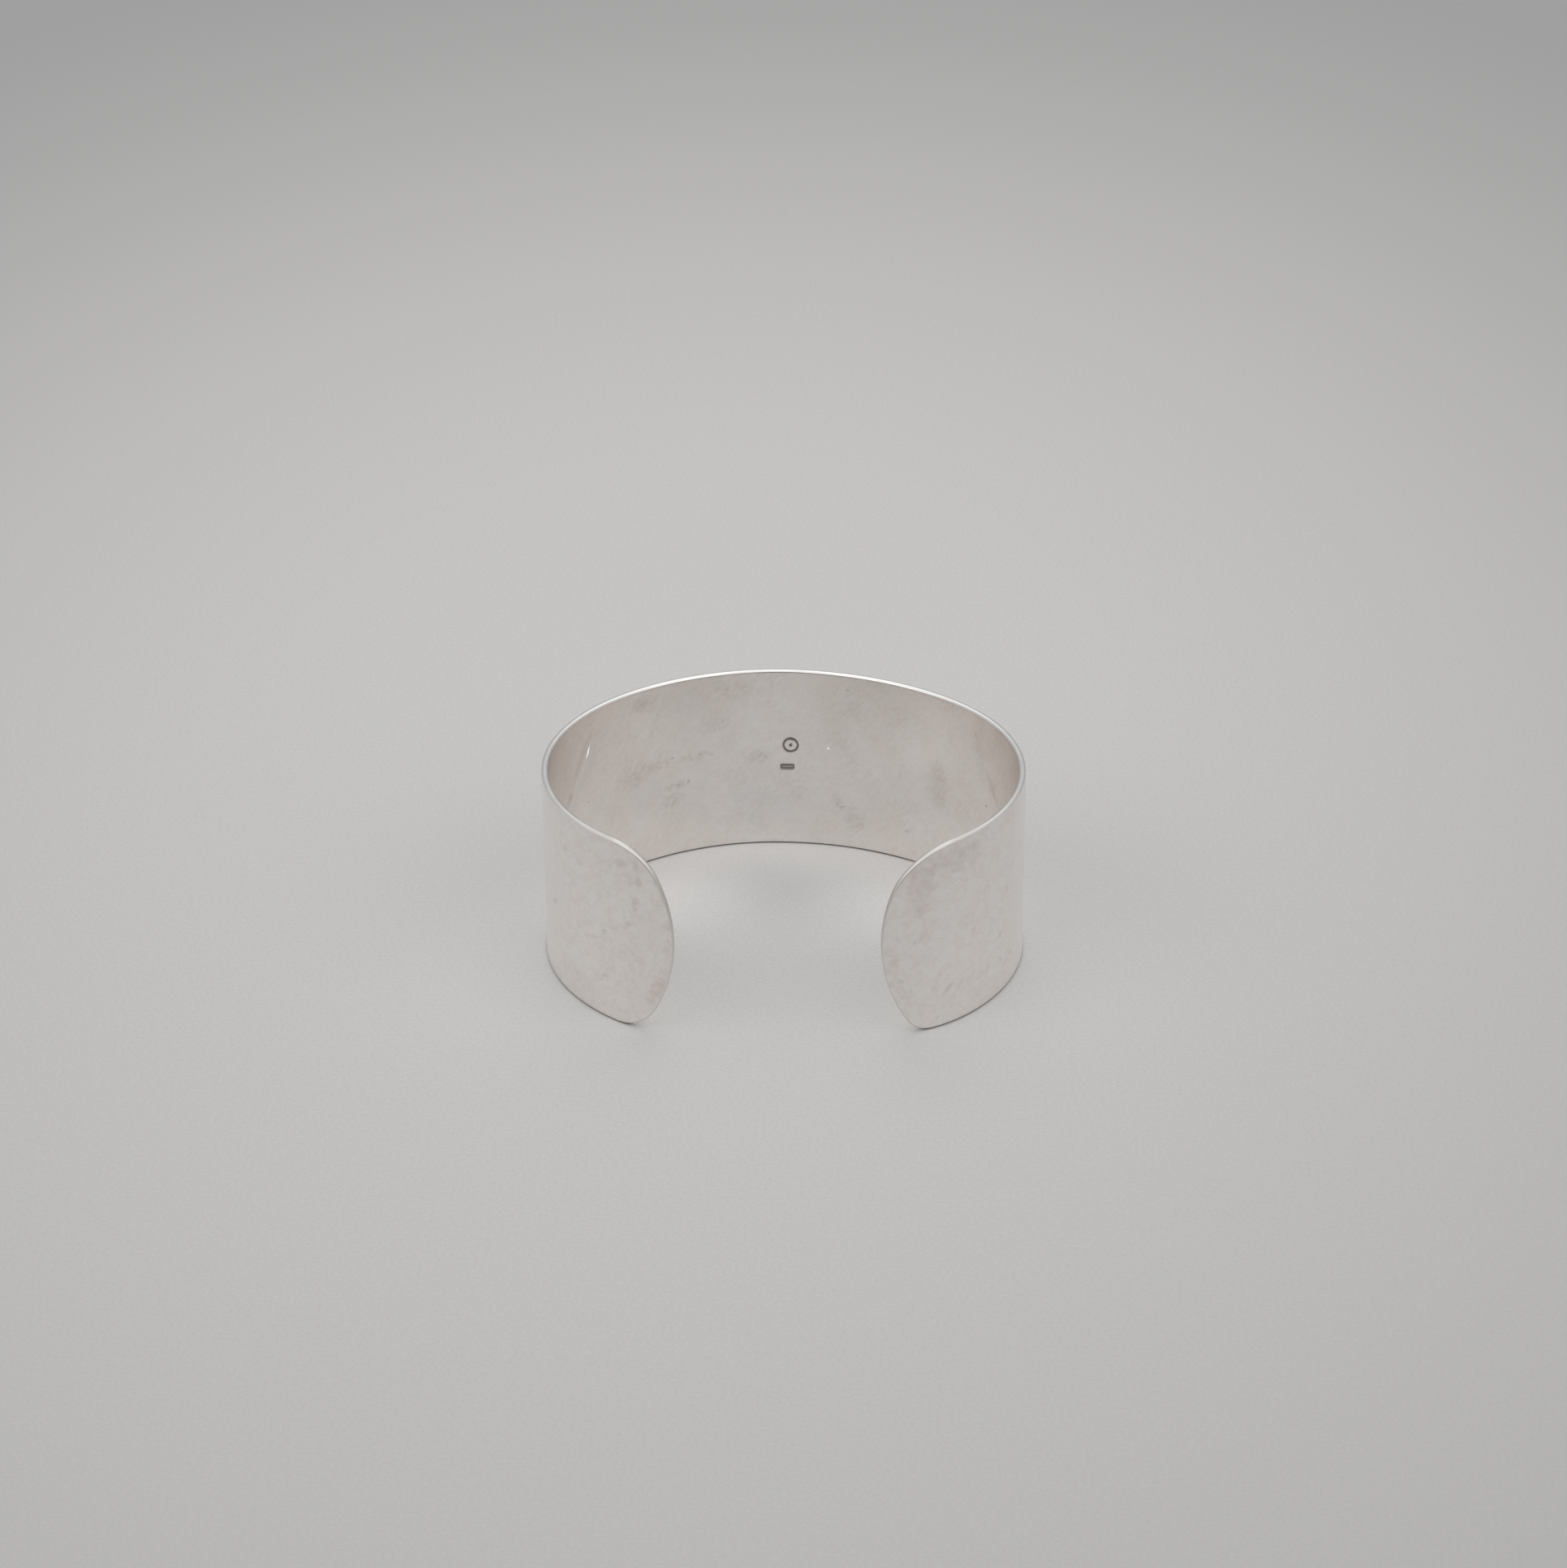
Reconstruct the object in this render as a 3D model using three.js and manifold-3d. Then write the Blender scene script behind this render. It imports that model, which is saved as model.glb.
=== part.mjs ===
// An open cuff bangle: one strip of silver sheet with rounded ends, bent to an oval that is open in front.
// Millimetres, +Z up. The band stands on its lower edge at z = 0, its back wall towards +Y, its opening
// towards -Y, and the origin is the middle of its footprint.

import * as THREE from "three";
import { mergeVertices } from "three/addons/utils/BufferGeometryUtils.js";
import Module from "manifold-3d";

// The strip
const BAND_HEIGHT = 25; // width of the strip, which stands upright
const SHEET = 0.85; // thickness of the sheet
const EDGE_ROUND = 0.27; // rounding of the filed edges, which leaves a flat land between
const TIP_RADIUS = 19.3; // the shallow curve of each end

// The strip's two arms, from the middle of the back to either tip, measured along the outer face. They were
// bent and filed by eye, so they differ a little. The corners lie between the tip's curve and the long edges.
const ARMS = {
  left: {
    side: -1,
    length: 75.3,
    upperCorner: 7,
    lowerCorner: 6.1,
    bend: [
      { radius: 29.7, sweep: 47.8 }, // the flatter back
      { radius: 25.4, sweep: 95.1 }, // the side, round to the front
      { radius: 16.6, sweep: 60 }, // the end, curled in; the strip stops part way along it
    ],
  },
  right: {
    side: 1,
    length: 76.3,
    upperCorner: 9.2,
    lowerCorner: 3.9,
    bend: [
      { radius: 34.2, sweep: 40 },
      { radius: 25, sweep: 94.9 },
      { radius: 16.6, sweep: 60 },
    ],
  },
};

// The two plain punch marks inside the back
const PUNCH_DEPTH = 0.1;
const PUNCH_MARGIN = 0.5; // how far a punch's tool stands proud of the face that it cuts
const RING = { along: 0.75, height: 14.4, outer: 1.1, inner: 0.72 };
const BAR = { along: 0.3, height: 11.25, width: 2.05, tall: 0.88, round: 0.3 };

// How finely the curves are cut
const BEND_STEP = 5 * (Math.PI / 180);
const TIP_STEPS = 9;
const CORNER_STEPS = 5;
const ROUND_STEPS = 2;
const PUNCH_SIDES = 24;

const SILVER = { color: 0xc9c5be, metalness: 1, roughness: 0.42 };

const HALF_HEIGHT = BAND_HEIGHT / 2;

// An arm's bend as a list of arcs, each with the arc length and heading at which it starts.
function bendArcs(bend) {
  const arcs = [];
  let start = 0;
  let heading = 0;
  let centre = new THREE.Vector2(0, 0);
  for (const { radius, sweep } of bend) {
    const before = arcs.at(-1)?.radius ?? 0;
    centre = centre.clone().add(outward(heading).multiplyScalar(before - radius));
    arcs.push({ radius, start, heading, centre });
    start += radius * THREE.MathUtils.degToRad(sweep);
    heading += THREE.MathUtils.degToRad(sweep);
  }
  return arcs;
}

// The outward direction where an arm has turned by this angle from the back.
function outward(heading) {
  return new THREE.Vector2(Math.sin(heading), Math.cos(heading));
}

for (const arm of Object.values(ARMS)) {
  arm.arcs = bendArcs(arm.bend);
}

// Where the outer face is at a signed arc length from the middle of the back, and which way is out.
function onBend(along) {
  const { side, arcs } = along < 0 ? ARMS.left : ARMS.right;
  const distance = Math.abs(along);
  const arc = arcs.findLast(({ start }) => distance >= start);
  const out = outward(arc.heading + (distance - arc.start) / arc.radius);
  const point = arc.centre.clone().addScaledVector(out, arc.radius);
  return {
    point: new THREE.Vector2(side * point.x, point.y),
    out: new THREE.Vector2(side * out.x, out.y),
  };
}

// Where the outline's arcs lie at one corner: the tip's centre and the corner's centre along the strip, how
// far up the corner's centre is, and the angle at which the two arcs meet.
function cornerLayout(length, cornerRadius) {
  const tipCentre = length - TIP_RADIUS;
  const up = HALF_HEIGHT - cornerRadius;
  const cornerCentre = tipCentre + Math.sqrt((TIP_RADIUS - cornerRadius) ** 2 - up ** 2);
  return { tipCentre, cornerCentre, up, meet: Math.atan2(up, cornerCentre - tipCentre) };
}

// Distances of the stations along an arm's straight edge, from the middle of the back up to its first corner.
function edgeStations({ length, upperCorner, lowerCorner, arcs }) {
  const corners = [upperCorner, lowerCorner].map((radius) => cornerLayout(length, radius).cornerCentre);
  const stations = [];
  arcs.forEach(({ start, radius }, i) => {
    const stop = Math.min(...corners, arcs[i + 1]?.start ?? Infinity);
    const count = Math.ceil((stop - start) / (radius * BEND_STEP));
    for (let k = 0; k < count; k++) {
      stations.push(THREE.MathUtils.lerp(start, stop, k / count));
    }
  });
  return stations;
}

// One quarter of the flat strip's outline, from the middle of the back to an arm's tip. Each row is a point,
// along and up from the middle line, and the direction in which the outline faces there.
function quarterOutline(arm, cornerRadius) {
  const { tipCentre, cornerCentre, up, meet } = cornerLayout(arm.length, cornerRadius);
  const rows = edgeStations(arm).map((along) => ({ along, up: HALF_HEIGHT, angle: Math.PI / 2 }));
  const addArc = (centreAlong, centreUp, radius, angle) => {
    const along = centreAlong + radius * Math.cos(angle);
    rows.push({ along, up: centreUp + radius * Math.sin(angle), angle });
  };
  for (let i = 0; i < CORNER_STEPS; i++) {
    addArc(cornerCentre, up, cornerRadius, THREE.MathUtils.lerp(Math.PI / 2, meet, i / CORNER_STEPS));
  }
  for (let i = 0; i <= TIP_STEPS; i++) {
    addArc(tipCentre, 0, TIP_RADIUS, THREE.MathUtils.lerp(meet, 0, i / TIP_STEPS));
  }
  return rows.map(({ along, up, angle }) => ({
    along: arm.side * along,
    up,
    faces: new THREE.Vector2(arm.side * Math.cos(angle), Math.sin(angle)),
  }));
}

// The outline above the middle line, from the left tip to the right tip, with a corner radius for each end.
function halfOutline(leftCorner, rightCorner) {
  const left = quarterOutline(ARMS.left, leftCorner).slice(1).reverse();
  return [...left, ...quarterOutline(ARMS.right, rightCorner)];
}

// The edge's cross-section, from the outer face round to the inner one: how far in from the outline, and
// how far below the outer face.
function edgeProfile() {
  const outer = [];
  for (let i = 0; i <= ROUND_STEPS; i++) {
    const angle = (i / ROUND_STEPS) * (Math.PI / 2);
    outer.push({
      inset: EDGE_ROUND * (1 - Math.sin(angle)),
      depth: EDGE_ROUND * (1 - Math.cos(angle)),
    });
  }
  const inner = outer.map(({ inset, depth }) => ({ inset, depth: SHEET - depth })).reverse();
  return [...outer, ...inner];
}

// A point of the flat strip, bent into place.
function bent(along, up, depth) {
  const { point, out } = onBend(along);
  return new THREE.Vector3(point.x - depth * out.x, point.y - depth * out.y, HALF_HEIGHT + up);
}

// The bent strip as one closed surface: a ring of edge strips, and an outer and an inner face.
function stripGeometry() {
  const upper = halfOutline(ARMS.left.upperCorner, ARMS.right.upperCorner);
  const mirror = halfOutline(ARMS.left.lowerCorner, ARMS.right.lowerCorner);
  const lower = mirror.slice(1, -1).reverse().map(({ along, up, faces }) => ({
    along,
    up: -up,
    faces: new THREE.Vector2(faces.x, -faces.y),
  }));
  const outline = [...upper, ...lower];
  const profile = edgeProfile();
  const vertices = [];
  for (const { inset, depth } of profile) {
    for (const { along, up, faces } of outline) {
      vertices.push(...bent(along - inset * faces.x, up - inset * faces.y, depth).toArray());
    }
  }
  const count = outline.length;
  const indices = [];
  const quad = (a, b, c, d) => indices.push(a, b, c, a, c, d);
  for (let level = 0; level < profile.length - 1; level++) {
    for (let i = 0; i < count; i++) {
      const next = (i + 1) % count;
      quad(level * count + i, (level + 1) * count + i, (level + 1) * count + next, level * count + next);
    }
  }
  const across = (i) => (count - i) % count; // the outline's row below row i
  const innermost = (profile.length - 1) * count;
  for (let i = 0; i < upper.length - 1; i++) {
    const corners = [i, i + 1, across(i + 1), across(i)];
    const distinct = corners.filter((corner, at) => corners.indexOf(corner) === at);
    for (let k = 1; k < distinct.length - 1; k++) {
      indices.push(distinct[0], distinct[k], distinct[k + 1]);
      indices.push(innermost + distinct[0], innermost + distinct[k + 1], innermost + distinct[k]);
    }
  }
  const geometry = new THREE.BufferGeometry();
  geometry.setAttribute("position", new THREE.Float32BufferAttribute(vertices, 3));
  geometry.setIndex(indices);
  return geometry;
}

// The ring punch's tool: a short tube whose axis is the face's normal, along Y.
function ringTool() {
  const length = PUNCH_DEPTH + PUNCH_MARGIN;
  const profile = [
    new THREE.Vector2(RING.inner, 0),
    new THREE.Vector2(RING.outer, 0),
    new THREE.Vector2(RING.outer, length),
    new THREE.Vector2(RING.inner, length),
    new THREE.Vector2(RING.inner, 0),
  ];
  return new THREE.LatheGeometry(profile, PUNCH_SIDES);
}

// The bar punch's tool: a rounded rectangle, drawn upright and extruded along the face's normal.
function barTool() {
  const x = BAR.width / 2;
  const y = BAR.tall / 2;
  const r = BAR.round;
  const shape = new THREE.Shape();
  shape.absarc(x - r, y - r, r, 0, Math.PI / 2);
  shape.absarc(r - x, y - r, r, Math.PI / 2, Math.PI);
  shape.absarc(r - x, r - y, r, Math.PI, 1.5 * Math.PI);
  shape.absarc(x - r, r - y, r, 1.5 * Math.PI, 2 * Math.PI);
  const depth = PUNCH_DEPTH + PUNCH_MARGIN;
  const geometry = new THREE.ExtrudeGeometry(shape, { depth, bevelEnabled: false, curveSegments: 3 });
  geometry.rotateX(-Math.PI / 2);
  return geometry;
}

const wasm = await Module();
wasm.setup();

// A closed mesh's geometry as a manifold-3d solid.
function solidOf(geometry) {
  const bare = geometry.clone();
  bare.deleteAttribute("normal");
  bare.deleteAttribute("uv");
  const merged = mergeVertices(bare, 1e-5);
  const triVerts = new Uint32Array(merged.index.array);
  const vertProperties = merged.attributes.position.array;
  return new wasm.Manifold(new wasm.Mesh({ numProp: 3, vertProperties, triVerts }));
}

// A manifold-3d solid as a geometry.
function geometryOf(solid) {
  const mesh = solid.getMesh();
  const geometry = new THREE.BufferGeometry();
  geometry.setAttribute("position", new THREE.BufferAttribute(mesh.vertProperties, mesh.numProp));
  geometry.setIndex(new THREE.BufferAttribute(mesh.triVerts, 1));
  geometry.computeVertexNormals();
  return geometry;
}

// The strip with both marks punched into the inner face of its back.
function bandGeometry() {
  const innerFace = -SHEET;
  let solid = solidOf(stripGeometry());
  for (const { mark, tool } of [{ mark: RING, tool: ringTool() }, { mark: BAR, tool: barTool() }]) {
    tool.translate(mark.along, innerFace - PUNCH_MARGIN, mark.height);
    solid = solid.subtract(solidOf(tool));
  }
  return geometryOf(solid);
}

const geometry = bandGeometry();
geometry.computeBoundingBox();
const middle = geometry.boundingBox.getCenter(new THREE.Vector3());

const band = new THREE.Mesh(geometry, new THREE.MeshStandardMaterial(SILVER));
band.name = "cuff_band";
band.position.set(-middle.x, -middle.y, 0); // the footprint's middle goes to the origin

const bangle = new THREE.Group();
bangle.add(band);

export default bangle;
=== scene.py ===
"""Looks of an open cuff bangle: one strip of silver sheet, bent to an oval that is open in front.

The cuff is made the way a silversmith makes it. A flat blank is cut with rounded ends, given its thickness,
punched, filed round at its edges and bent. Each point keeps its flat place on the strip as an attribute, so
stains and brush strokes lie where the work left them, and the painted shade of the bend lines lies along the
bends.
"""

import logging
import math
from dataclasses import dataclass
from enum import Enum
from typing import Any

import bmesh
import bpy
from mathutils import Matrix, Vector, noise


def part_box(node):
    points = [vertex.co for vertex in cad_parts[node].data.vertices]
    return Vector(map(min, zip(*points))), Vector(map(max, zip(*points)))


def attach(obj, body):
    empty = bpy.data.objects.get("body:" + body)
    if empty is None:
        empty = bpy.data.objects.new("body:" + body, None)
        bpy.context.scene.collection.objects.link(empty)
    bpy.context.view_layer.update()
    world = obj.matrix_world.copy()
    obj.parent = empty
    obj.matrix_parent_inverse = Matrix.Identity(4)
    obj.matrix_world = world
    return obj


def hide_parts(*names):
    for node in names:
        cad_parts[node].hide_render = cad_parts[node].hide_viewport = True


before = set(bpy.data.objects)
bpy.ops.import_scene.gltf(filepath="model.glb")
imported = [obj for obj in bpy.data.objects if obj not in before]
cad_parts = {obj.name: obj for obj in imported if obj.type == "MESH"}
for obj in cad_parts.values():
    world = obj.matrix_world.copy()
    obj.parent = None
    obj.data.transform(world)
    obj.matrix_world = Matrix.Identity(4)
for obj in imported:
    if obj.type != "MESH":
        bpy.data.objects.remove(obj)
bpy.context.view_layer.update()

LOG = logging.getLogger("bangle")
MM = 0.001
SHEET = 0.85

Colour = tuple[float, float, float, float]
Triple = tuple[float, float, float]
Socket = bpy.types.NodeSocket


class Face(Enum):
    """The strip's surfaces, each with the number of its material slot."""

    OUTSIDE = 0
    INSIDE = 1
    RIM = 2


class Attribute(Enum):
    """What each point of the cuff remembers from the flat strip, in millimetres."""

    # Along the strip from the middle of the back, up from the lower edge, and into the sheet
    STRIP = "strip"


class Blend(Enum):
    """How one colour is laid over another."""

    OVER = "MIX"
    GLOWING = "ADD"


# ---- The strip's plan and outline ----


@dataclass(frozen=True)
class Arc:
    """One arc of a bend: its outer radius in millimetres and its sweep in degrees."""

    radius: float
    sweep: float


@dataclass(frozen=True)
class Corner:
    """Where an end's small corner arc meets its shallow tip arc, in flat millimetres from the middle."""

    radius: float
    tip_centre: float
    centre: float
    up: float
    meet: float


@dataclass(frozen=True)
class Arm:
    """Half of the strip, from the middle of the back to a tip, in millimetres along the outer face."""

    side: int
    length: float
    upper_corner: float
    lower_corner: float
    bend: tuple[Arc, ...]

    def corner(self, upper: bool, tip_radius: float, half_height: float) -> Corner:
        """Works out where one corner's arcs lie.

        Args:
            upper: whether it is the upper corner.
            tip_radius: radius of the shallow tip.
            half_height: half of the strip's width.

        Returns:
            The corner's layout.
        """
        radius = self.upper_corner if upper else self.lower_corner
        tip_centre = self.length - tip_radius
        up = half_height - radius
        centre = tip_centre + math.sqrt((tip_radius - radius) ** 2 - up**2)
        return Corner(radius, tip_centre, centre, up, math.atan2(up, centre - tip_centre))

    def place(self, distance: float, depth: float) -> Vector:
        """Bends a point of the flat strip into the plan.

        Args:
            distance: arc length from the middle of the back.
            depth: how far below the outer face.

        Returns:
            The point in plan, with the outer face's middle at (0, 0) and the bend towards -Y.
        """
        centre = Vector((0.0, 0.0))
        start = 0.0
        heading = 0.0
        last = 0.0
        for index, arc in enumerate(self.bend):
            out = Vector((math.sin(heading), math.cos(heading)))
            centre = centre + out * (last - arc.radius)
            sweep = math.radians(arc.sweep)
            reach = start + arc.radius * sweep
            if distance < reach or index == len(self.bend) - 1:
                break
            start = reach
            heading += sweep
            last = arc.radius
        turned = heading + (distance - start) / arc.radius
        point = centre + Vector((math.sin(turned), math.cos(turned))) * (arc.radius - depth)
        return Vector((self.side * point.x, point.y))


@dataclass(frozen=True)
class RingPunch:
    """A plain ring struck into the inner face, in flat millimetres."""

    along: float = 0.75
    height: float = 14.4
    outer: float = 1.12
    inner: float = 0.74
    dot: float = 0.26

    def depth(self, along: float, height: float, slope: float) -> float:
        """Says how deep the punch goes at a point.

        Args:
            along: place along the strip.
            height: place above the lower edge.
            slope: width of the groove's sloping side.

        Returns:
            A share of the punch's depth, from 0 to 1.
        """
        reach = math.hypot(along - self.along, height - self.height)
        middle = (self.outer + self.inner) / 2
        groove = smooth_step((self.outer - self.inner) / 2 - abs(reach - middle), slope)
        return max(groove, smooth_step(self.dot - reach, slope))


@dataclass(frozen=True)
class BarPunch:
    """A plain rounded bar with a raised middle, struck into the inner face, in flat millimetres."""

    along: float = 0.3
    height: float = 11.25
    width: float = 2.05
    tall: float = 0.88
    round: float = 0.3
    border: float = 0.24
    raised: float = 0.55

    def depth(self, along: float, height: float, slope: float) -> float:
        """Says how deep the punch goes at a point.

        Args:
            along: place along the strip.
            height: place above the lower edge.
            slope: width of the groove's sloping side.

        Returns:
            A share of the punch's depth, from 0 to 1.
        """
        across = max(abs(along - self.along) - self.width / 2 + self.round, 0.0)
        up = max(abs(height - self.height) - self.tall / 2 + self.round, 0.0)
        inside = self.round - math.hypot(across, up)
        shallow = self.raised * smooth_step(inside - self.border, slope)
        return smooth_step(inside, slope) - shallow


def smooth_step(distance: float, width: float) -> float:
    """Rises smoothly from 0 to 1 while distance goes from 0 to width."""
    share = min(max(distance / width, 0.0), 1.0)
    return share * share * (3 - 2 * share)


# ---- Shader building ----


class Shader:
    """Adds nodes to one tree and joins them."""

    # The Mix node's colour sockets, whose names its other sockets share
    mix_below = 6
    mix_above = 7
    mix_result = 2
    # The Vector Math operations whose result is a number
    measures = ("LENGTH", "DOT_PRODUCT")

    def __init__(self, tree: bpy.types.NodeTree) -> None:
        """Takes the tree that the nodes go into."""
        self.tree = tree

    def add(self, kind: str, **settings: Any) -> bpy.types.Node:
        """Adds a node.

        Args:
            kind: the node's type, such as ShaderNodeTexNoise.
            settings: the node's own properties.

        Returns:
            The new node.
        """
        node = self.tree.nodes.new(kind)
        for name, value in settings.items():
            setattr(node, name, value)
        return node

    def feed(self, target: Socket, value: Any) -> None:
        """Links a socket into a target, or sets the target to a constant.

        Args:
            target: the input that is fed.
            value: a socket or a constant.
        """
        if isinstance(value, Socket):
            self.tree.links.new(value, target)
        else:
            target.default_value = value

    def fill(self, node: bpy.types.Node, **values: Any) -> bpy.types.Node:
        """Feeds a node's inputs by name.

        Args:
            node: the node.
            values: what its inputs get, by name with _ for a space.

        Returns:
            The same node.
        """
        for name, value in values.items():
            self.feed(node.inputs[name.replace("_", " ")], value)
        return node

    def math(self, operation: str, first: Any, second: Any = 0.0) -> Socket:
        """Joins two values with a Math node.

        Args:
            operation: the Math node's operation.
            first: a socket or a number.
            second: a socket or a number.

        Returns:
            The result's socket.
        """
        node = self.add("ShaderNodeMath", operation=operation)
        self.feed(node.inputs[0], first)
        self.feed(node.inputs[1], second)
        return node.outputs[0]

    def vector(self, operation: str, first: Any, second: Any = (0.0, 0.0, 0.0)) -> Socket:
        """Joins two vectors with a Vector Math node.

        Args:
            operation: the Vector Math node's operation.
            first: a socket or a vector.
            second: a socket or a vector.

        Returns:
            The result's socket, a number's where the operation measures.
        """
        node = self.add("ShaderNodeVectorMath", operation=operation)
        self.feed(node.inputs[0], first)
        self.feed(node.inputs[1], second)
        return node.outputs["Value" if operation in self.measures else "Vector"]

    def turn(self, vector: Socket, angle: Any) -> Socket:
        """Turns a place on the strip within the strip's plane, by an angle in radians."""
        node = self.add("ShaderNodeVectorRotate", rotation_type="Z_AXIS")
        return self.fill(node, Vector=vector, Angle=angle).outputs[0]

    def split(self, vector: Socket) -> Any:
        """Splits a vector into sockets that are named X, Y and Z."""
        return self.fill(self.add("ShaderNodeSeparateXYZ"), Vector=vector).outputs

    def noise(self, **values: Any) -> Socket:
        """Adds a noise that can be seeded, and feeds its inputs by name."""
        node = self.add("ShaderNodeTexNoise", noise_dimensions="4D")
        return self.fill(node, **values).outputs[0]

    def bump(self, height: Socket, strength: float, distance: float) -> Socket:
        """Makes a normal from a relief, whose height is from 0 to 1 and whose distance is in metres."""
        node = self.add("ShaderNodeBump")
        return self.fill(node, Height=height, Strength=strength, Distance=distance).outputs[0]

    def ramp(self, value: Any, low: Any, high: Any, to_low: Any = 0.0, to_high: Any = 1.0) -> Socket:
        """Maps a range of values smoothly to another one.

        Args:
            value: what is mapped.
            low: where the range starts.
            high: where it ends.
            to_low: the result at low.
            to_high: the result at high.

        Returns:
            The result's socket.
        """
        node = self.add("ShaderNodeMapRange", interpolation_type="SMOOTHSTEP")
        self.fill(node, Value=value, From_Min=low, From_Max=high, To_Min=to_low, To_Max=to_high)
        return node.outputs["Result"]

    def tint(self, base: Any, colour: Any, share: Any, blend: Blend = Blend.OVER) -> Socket:
        """Lays a colour over a base.

        Args:
            base: the colour below.
            colour: the colour above.
            share: how much of it shows, from 0 to 1.
            blend: how it is laid.

        Returns:
            The mixed colour's socket.
        """
        node = self.add("ShaderNodeMix", data_type="RGBA", blend_type=blend.value)
        self.feed(node.inputs["Factor"], share)
        self.feed(node.inputs[self.mix_below], base)
        self.feed(node.inputs[self.mix_above], colour)
        return node.outputs[self.mix_result]

    def attribute(self, attribute: Attribute) -> Socket:
        """Reads one of the cuff's attributes."""
        return self.add("ShaderNodeAttribute", attribute_name=attribute.value).outputs["Vector"]

    def effect(self, group: bpy.types.NodeTree, **values: Any) -> Socket:
        """Places a shared effect and feeds its inputs by name."""
        return self.fill(self.add("ShaderNodeGroup", node_tree=group), **values).outputs[0]


class Effects:
    """The shader effects that the finishes share, each built once as a node group."""

    cloud_roughness = 0.6
    stroke_detail = 3.0
    stroke_roughness = 0.65
    mark_core = 0.25  # the share of a mark's reach that it covers fully

    def __init__(self) -> None:
        """Builds every group."""
        self.clouds = self.build_clouds()
        self.strokes = self.build_strokes()
        self.mark = self.build_mark()
        self.fold = self.build_fold()

    @staticmethod
    def start(name: str, inputs: dict[str, str], output: str) -> tuple[Shader, Any, Socket]:
        """Starts a node group.

        Args:
            name: the group's name.
            inputs: each input's name and short socket type.
            output: the name of its output, a number.

        Returns:
            The shader builder, the sockets that bring the inputs in, and the one that takes the output.
        """
        tree = bpy.data.node_groups.new(name, "ShaderNodeTree")
        for label, kind in inputs.items():
            tree.interface.new_socket(label, in_out="INPUT", socket_type=f"NodeSocket{kind}")
        tree.interface.new_socket(output, in_out="OUTPUT", socket_type="NodeSocketFloat")
        shader = Shader(tree)
        entry = shader.add("NodeGroupInput").outputs
        return shader, entry, shader.add("NodeGroupOutput").inputs[output]

    @staticmethod
    def around_centre(shader: Shader, entry: Any) -> Socket:
        """The place on the strip as seen from a group's centre, along its angle."""
        return shader.turn(shader.vector("SUBTRACT", entry["Vector"], entry["Centre"]), entry["Angle"])

    def build_clouds(self) -> bpy.types.NodeTree:
        """Builds soft clouds: a mask that is 0 below one level of a noise and 1 above another.

        Returns:
            The group.
        """
        inputs = {"Vector": "Vector", "Size": "Float", "Detail": "Float", "Seed": "Float",
                  "Low": "Float", "High": "Float"}
        shader, entry, mask = self.start("Clouds", inputs, "Mask")
        cloud = shader.noise(
            Vector=entry["Vector"], W=entry["Seed"], Scale=shader.math("DIVIDE", 1.0, entry["Size"]),
            Detail=entry["Detail"], Roughness=self.cloud_roughness,
        )
        shader.feed(mask, shader.ramp(cloud, entry["Low"], entry["High"]))
        return shader.tree

    def build_strokes(self) -> bpy.types.NodeTree:
        """Builds fine strokes that run at an angle to the strip: a value around 0.5.

        Returns:
            The group.
        """
        inputs = {"Vector": "Vector", "Angle": "Float", "Length": "Float", "Width": "Float", "Seed": "Float"}
        shader, entry, value = self.start("Strokes", inputs, "Value")
        turned = shader.turn(entry["Vector"], entry["Angle"])
        size = shader.add("ShaderNodeCombineXYZ")
        shader.fill(size, X=entry["Length"], Y=entry["Width"], Z=entry["Width"])
        grain = shader.noise(
            Vector=shader.vector("DIVIDE", turned, size.outputs[0]), W=entry["Seed"], Scale=1.0,
            Detail=self.stroke_detail, Roughness=self.stroke_roughness,
        )
        shader.feed(value, grain)
        return shader.tree

    def build_mark(self) -> bpy.types.NodeTree:
        """Builds one soft oval mark at a place on the strip.

        Returns:
            The group.
        """
        inputs = {"Vector": "Vector", "Centre": "Vector", "Angle": "Float", "Size": "Vector"}
        shader, entry, mask = self.start("Mark", inputs, "Mask")
        scaled = shader.vector("DIVIDE", self.around_centre(shader, entry), entry["Size"])
        reach = shader.vector("LENGTH", shader.vector("MULTIPLY", scaled, (1.0, 1.0, 0.0)))
        shader.feed(mask, shader.ramp(reach, 1.0, self.mark_core))
        return shader.tree

    def build_fold(self) -> bpy.types.NodeTree:
        """Builds the strip's half beyond a straight line, which starts softly.

        Returns:
            The group.
        """
        inputs = {"Vector": "Vector", "Centre": "Vector", "Angle": "Float", "Softness": "Float"}
        shader, entry, mask = self.start("Fold", inputs, "Mask")
        beyond = shader.split(self.around_centre(shader, entry))["Y"]
        shader.feed(mask, shader.ramp(beyond, 0.0, entry["Softness"]))
        return shader.tree


# ---- The finishes ----


@dataclass(frozen=True)
class Cloud:
    """Soft clouds, by their size in millimetres, their seed, and the levels where they start and are full."""

    size: float
    seed: float
    low: float
    high: float
    detail: float = 3.0


@dataclass(frozen=True)
class Stroke:
    """Fine strokes, by their rise in degrees, their size in millimetres, and the levels of their mask."""

    rise: float
    length: float
    width: float
    seed: float
    low: float
    high: float


@dataclass(frozen=True)
class Mark:
    """A soft mark at a place on the strip, in millimetres and degrees."""

    along: float
    height: float
    length: float
    width: float
    angle: float = 0.0
    strength: float = 1.0


@dataclass(frozen=True)
class Fold:
    """A line across the strip, where a bend starts, in millimetres and degrees."""

    along: float
    height: float
    angle: float
    softness: float


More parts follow.
